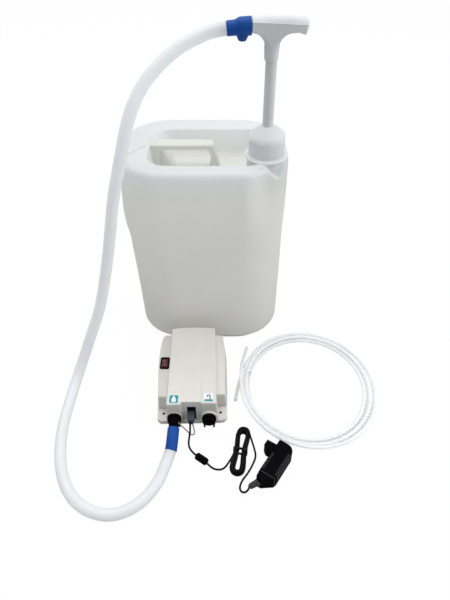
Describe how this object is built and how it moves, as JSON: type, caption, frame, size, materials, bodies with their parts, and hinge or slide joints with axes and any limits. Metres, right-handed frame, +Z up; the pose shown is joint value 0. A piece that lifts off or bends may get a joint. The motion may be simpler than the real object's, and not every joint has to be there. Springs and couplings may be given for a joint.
{
  "type": "bottled water pump kit",
  "caption": "Electric pump box with its hose and suction wand standing in a water can, outlet tube coil and wall adapter.",
  "frame": {"origin": "centre of the footprint of the rigid pieces, on the floor", "axes": "+Z up, +X to the right seen from the pump's ports, +Y from the pump towards the can"},
  "size_m": [0.5962, 0.6455, 0.6165],
  "materials": {
    "can": "translucent natural polyethylene",
    "white_plastic": "semi-gloss white",
    "seal_rubber": "matte",
    "blue_sleeve": "satin blue sleeve",
    "housing": "fine-textured light grey",
    "steel": "satin",
    "magnet": "dull ferrite",
    "black_plastic": "satin black",
    "plug_face": "slate, lightly glossy",
    "switch_red": "tinted red",
    "board": "glass-fibre board",
    "winding": "wound copper",
    "hose": "smooth white hose",
    "clear_tube": "milky tube",
    "lead": "satin black jacket"
  },
  "bodies": {
    "kit": {"jerrycan": "can", "can_top": "can", "can_grip": "can", "can_neck": "can", "pump_feet": "seal_rubber", "rubber_mounts": "seal_rubber", "diaphragm": "seal_rubber", "lower_sleeve": "blue_sleeve", "pump_cover": "housing", "pump_base": "housing", "cover_screws": "steel", "motor_can": "steel", "front_bearing": "steel", "rear_bearing": "steel", "motor_bracket": "steel", "motor_magnets": "magnet", "switch_bezel": "black_plastic", "inlet_port": "black_plastic", "outlet_port": "black_plastic", "power_socket": "black_plastic", "adapter_case": "black_plastic", "adapter_end": "black_plastic", "adapter_plug_head": "black_plastic", "pump_head": "black_plastic", "drive_housing": "black_plastic", "valve_plate": "black_plastic", "pressure_switch": "black_plastic", "choke_bead": "black_plastic", "lead_relief": "black_plastic", "power_plug": "plug_face", "control_board": "board", "adapter_board": "board", "adapter_transformer": "winding", "water_hose": "hose", "outlet_tube": "clear_tube", "power_lead": "lead", "float_wire": "lead", "coil_tie": "lead", "lead_tie": "lead"},
    "cap": {"cap_adapter": "white_plastic", "cap_seal": "seal_rubber"},
    "wand": {"wand_tube": "white_plastic", "wand_foot": "white_plastic", "float_stop": "white_plastic", "wand_grip": "white_plastic", "upper_sleeve": "blue_sleeve"},
    "float": {"wand_float": "white_plastic"},
    "rocker": {"switch_rocker": "switch_red"},
    "inlet_latch": {"inlet_clip": "black_plastic"},
    "outlet_latch": {"outlet_clip": "black_plastic"},
    "rotor": {"motor_rotor": "steel", "drive_cam": "black_plastic"},
    "wobble": {"wobble_plate": "black_plastic"}
  },
  "joints": [
    {"name": "wand_lift", "type": "slide", "parent": "kit", "child": "wand", "axis": [0, 0, 1], "range_m": [0, 0.25]},
    {"name": "cap_turn", "type": "hinge", "parent": "kit", "child": "cap", "pos_m": [0.10475, 0.0765, 0.41], "axis": [0, 0, 1], "range_deg": [0, 540]},
    {"name": "float_rise", "type": "slide", "parent": "wand", "child": "float", "axis": [0, 0, 1], "range_m": [0, 0.012]},
    {"name": "rocker_tilt", "type": "hinge", "parent": "kit", "child": "rocker", "pos_m": [-0.08245, -0.108, 0.046], "axis": [1, 0, 0], "range_deg": [0, 18]},
    {"name": "inlet_latch_lift", "type": "slide", "parent": "kit", "child": "inlet_latch", "axis": [0, 0, 1], "range_m": [0, 0.008]},
    {"name": "outlet_latch_lift", "type": "slide", "parent": "kit", "child": "outlet_latch", "axis": [0, 0, 1], "range_m": [0, 0.008]},
    {"name": "motor_spin", "type": "hinge", "parent": "kit", "child": "rotor", "pos_m": [-0.03025, -0.1485, 0.032], "axis": [0, 1, 0], "continuous": true},
    {"name": "wobble_stroke", "type": "slide", "parent": "kit", "child": "wobble", "axis": [0, 1, 0], "range_m": [-0.0004, 0.0004]}
  ]
}
